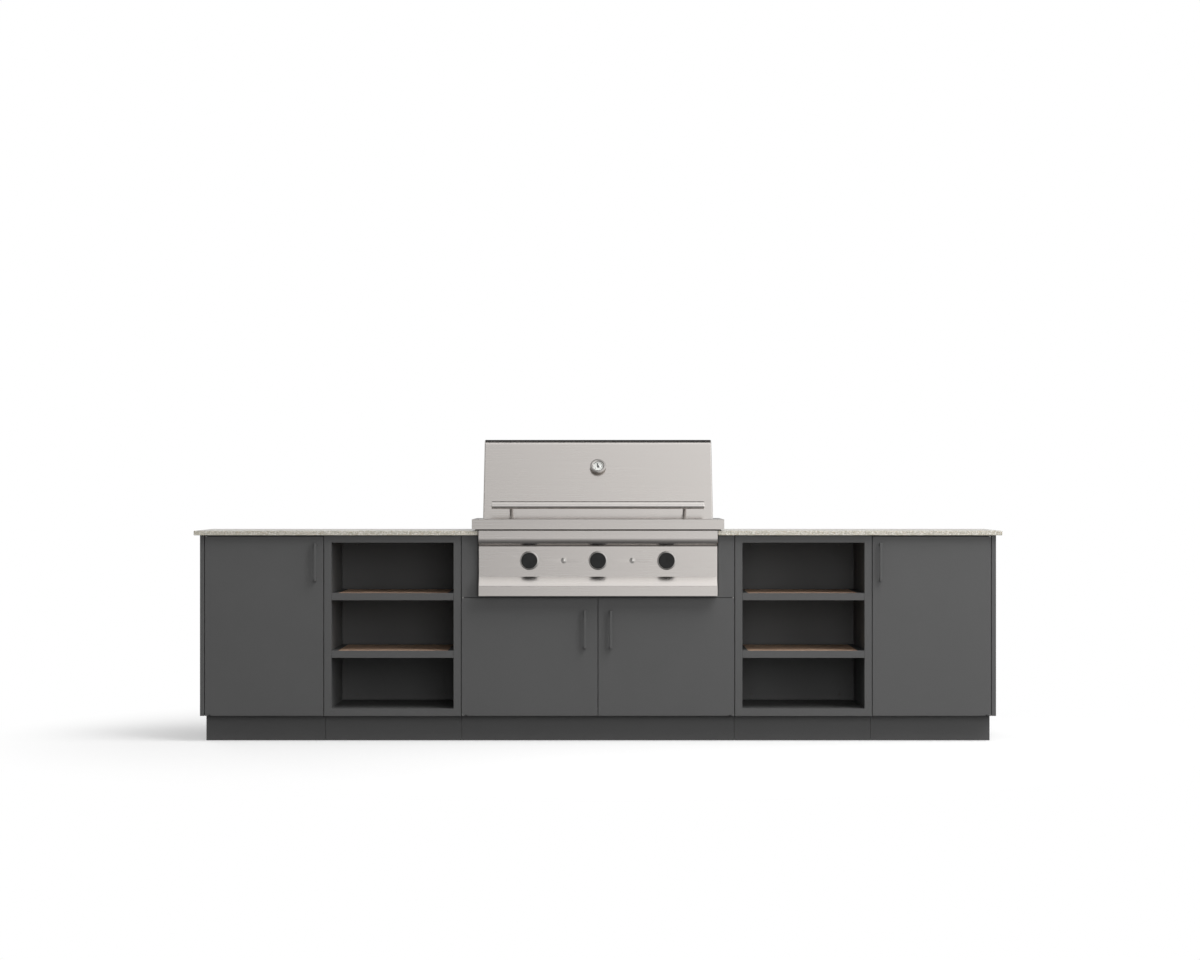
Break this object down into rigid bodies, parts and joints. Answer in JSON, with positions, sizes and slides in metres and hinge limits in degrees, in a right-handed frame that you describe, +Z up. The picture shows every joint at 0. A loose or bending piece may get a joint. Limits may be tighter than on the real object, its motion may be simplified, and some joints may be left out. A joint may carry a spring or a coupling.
{
  "type": "outdoor kitchen island",
  "caption": "Outdoor kitchen island: a row of steel base cabinets with a stone counter and a built-in gas grill, opening doors, trays, hood, knobs and igniter buttons.",
  "frame": {"origin": "on the floor under the middle of the island's bounding box", "axes": "+X to the right along the row of cabinets, -Y to the front where the doors and knobs are, +Y to the back, +Z up"},
  "size_m": [3.5928, 0.683, 1.3463],
  "materials": {
    "powder_coat": "matte grey powder coat",
    "dark_powder_coat": "matte dark grey powder coat",
    "stainless": "brushed stainless steel",
    "dark_steel": "dull formed steel",
    "granite": "polished speckled granite",
    "wood": "oiled hardwood",
    "knob_plastic": "matte black moulded plastic",
    "brass": "machined brass",
    "needle": "black paint"
  },
  "bodies": {
    "root": {"left_door_cabinet_carcass": "powder_coat", "left_end_panel": "powder_coat", "left_cabinet_shelf": "powder_coat", "left_door_pivot_rod": "stainless", "left_door_cabinet_plinth": "dark_powder_coat", "left_open_cabinet_carcass": "powder_coat", "left_upper_tray": "powder_coat", "left_upper_board": "wood", "left_lower_tray": "powder_coat", "left_lower_board": "wood", "left_open_cabinet_plinth": "dark_powder_coat", "grill_cabinet_carcass": "powder_coat", "grill_left_pivot_rod": "stainless", "grill_right_pivot_rod": "stainless", "grill_cabinet_plinth": "dark_powder_coat", "grill_surround": "powder_coat", "right_open_cabinet_carcass": "powder_coat", "right_upper_tray": "powder_coat", "right_upper_board": "wood", "right_lower_tray": "powder_coat", "right_lower_board": "wood", "right_open_cabinet_plinth": "dark_powder_coat", "right_door_cabinet_carcass": "powder_coat", "right_end_panel": "powder_coat", "right_cabinet_shelf": "powder_coat", "right_door_pivot_rod": "stainless", "right_door_cabinet_plinth": "dark_powder_coat", "counter_left_slab": "granite", "counter_right_slab": "granite", "firebox": "dark_steel", "trim_frame": "stainless", "control_panel": "stainless", "left_burner": "dark_steel", "middle_burner": "dark_steel", "right_burner": "dark_steel", "left_grate": "dark_steel", "middle_grate": "dark_steel", "right_grate": "dark_steel", "drip_tray": "stainless", "gas_manifold": "brass"},
    "left_door_body": {"left_door": "powder_coat", "left_door_handle": "powder_coat"},
    "right_door_body": {"right_door": "powder_coat", "right_door_handle": "powder_coat"},
    "grill_left_door_body": {"grill_left_door": "powder_coat", "grill_left_door_handle": "powder_coat"},
    "grill_right_door_body": {"grill_right_door": "powder_coat", "grill_right_door_handle": "powder_coat"},
    "hood_body": {"hood": "stainless", "hood_handle": "stainless", "thermometer_body": "stainless"},
    "needle_body": {"thermometer_needle": "needle"},
    "left_stem_body": {"left_valve_stem": "dark_steel"},
    "left_knob_body": {"left_knob": "knob_plastic"},
    "middle_stem_body": {"middle_valve_stem": "dark_steel"},
    "middle_knob_body": {"middle_knob": "knob_plastic"},
    "right_stem_body": {"right_valve_stem": "dark_steel"},
    "right_knob_body": {"right_knob": "knob_plastic"},
    "left_igniter_body": {"left_igniter_button": "stainless"},
    "right_igniter_body": {"right_igniter_button": "stainless"}
  },
  "joints": [
    {"name": "left_door_hinge", "type": "hinge", "parent": "root", "child": "left_door_body", "pos_m": [-1.7446, -0.2765, 0.5], "axis": [0, 0, -1], "range_deg": [0, 105]},
    {"name": "right_door_hinge", "type": "hinge", "parent": "root", "child": "right_door_body", "pos_m": [1.7446, -0.2765, 0.5], "axis": [0, 0, 1], "range_deg": [0, 105]},
    {"name": "grill_left_door_hinge", "type": "hinge", "parent": "root", "child": "grill_left_door_body", "pos_m": [-0.6016, -0.2765, 0.4], "axis": [0, 0, -1], "range_deg": [0, 105]},
    {"name": "grill_right_door_hinge", "type": "hinge", "parent": "root", "child": "grill_right_door_body", "pos_m": [0.6016, -0.2765, 0.4], "axis": [0, 0, 1], "range_deg": [0, 105]},
    {"name": "hood_hinge", "type": "hinge", "parent": "root", "child": "hood_body", "pos_m": [0, 0.2785, 1.0103], "axis": [-1, 0, 0], "range_deg": [0, 85]},
    {"name": "needle_turn", "type": "hinge", "parent": "hood_body", "child": "needle_body", "pos_m": [0, -0.1398, 1.2205], "axis": [0, 0.8579, -0.5138], "range_deg": [-120, 150]},
    {"name": "left_knob_push", "type": "slide", "parent": "root", "child": "left_stem_body", "axis": [0, 1, 0], "range_m": [0, 0.003], "stiffness_N_per_m": 2000, "springref_m": -0.001},
    {"name": "left_knob_turn", "type": "hinge", "parent": "left_stem_body", "child": "left_knob_body", "pos_m": [-0.3048, -0.33, 0.8063], "axis": [0, -1, 0], "range_deg": [0, 180]},
    {"name": "middle_knob_push", "type": "slide", "parent": "root", "child": "middle_stem_body", "axis": [0, 1, 0], "range_m": [0, 0.003], "stiffness_N_per_m": 2000, "springref_m": -0.001},
    {"name": "middle_knob_turn", "type": "hinge", "parent": "middle_stem_body", "child": "middle_knob_body", "pos_m": [0, -0.33, 0.8063], "axis": [0, -1, 0], "range_deg": [0, 180]},
    {"name": "right_knob_push", "type": "slide", "parent": "root", "child": "right_stem_body", "axis": [0, 1, 0], "range_m": [0, 0.003], "stiffness_N_per_m": 2000, "springref_m": -0.001},
    {"name": "right_knob_turn", "type": "hinge", "parent": "right_stem_body", "child": "right_knob_body", "pos_m": [0.3048, -0.33, 0.8063], "axis": [0, -1, 0], "range_deg": [0, 180]},
    {"name": "left_igniter_push", "type": "slide", "parent": "root", "child": "left_igniter_body", "axis": [0, 1, 0], "range_m": [0, 0.004], "stiffness_N_per_m": 800, "springref_m": -0.001},
    {"name": "right_igniter_push", "type": "slide", "parent": "root", "child": "right_igniter_body", "axis": [0, 1, 0], "range_m": [0, 0.004], "stiffness_N_per_m": 800, "springref_m": -0.001}
  ]
}
